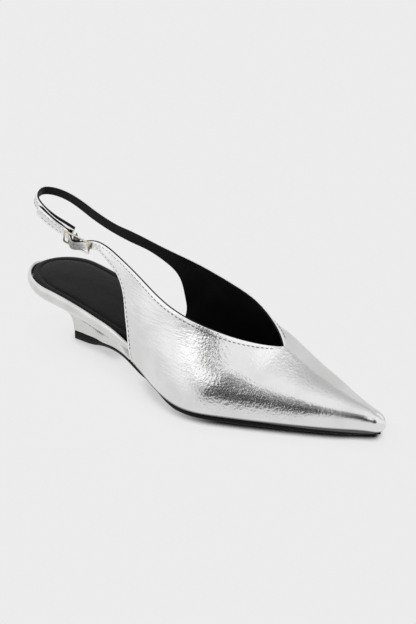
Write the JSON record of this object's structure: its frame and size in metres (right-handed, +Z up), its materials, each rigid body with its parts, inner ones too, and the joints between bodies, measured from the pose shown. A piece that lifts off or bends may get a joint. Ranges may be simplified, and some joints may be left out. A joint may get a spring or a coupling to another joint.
{
  "type": "slingback shoe",
  "caption": "Pointed slingback shoe for the right foot in silver leather, open at the heel, on a low undercut wedge, with a heel strap held by a slide buckle.",
  "frame": {"origin": "middle of the shoe's length and width on the floor it stands on", "axes": "+X towards the toe, +Y towards the inner side of the foot, +Z up"},
  "size_m": [0.2671, 0.0814, 0.0991],
  "materials": {
    "silver_leather": "mirror-bright metallic foil on soft leather",
    "black_leather": "smooth satin lining leather",
    "silver_rim_leather": "metallic foil leather wrapped over the rim",
    "silver_wedge_leather": "metallic foil leather wrapped over the wedge",
    "black_outsole": "matt black sole sheet",
    "black_tip": "matt black top piece",
    "pale_metal": "pale polished plating",
    "grey_elastic": "woven elastic"
  },
  "bodies": {
    "root": {"upper": "silver_leather", "insole": "black_leather", "footbed": "silver_rim_leather", "wedge_heel": "silver_wedge_leather", "outsole": "black_outsole", "heel_tip": "black_tip", "buckle_slide": "pale_metal", "elastic_loop": "grey_elastic"}
  },
  "joints": []
}
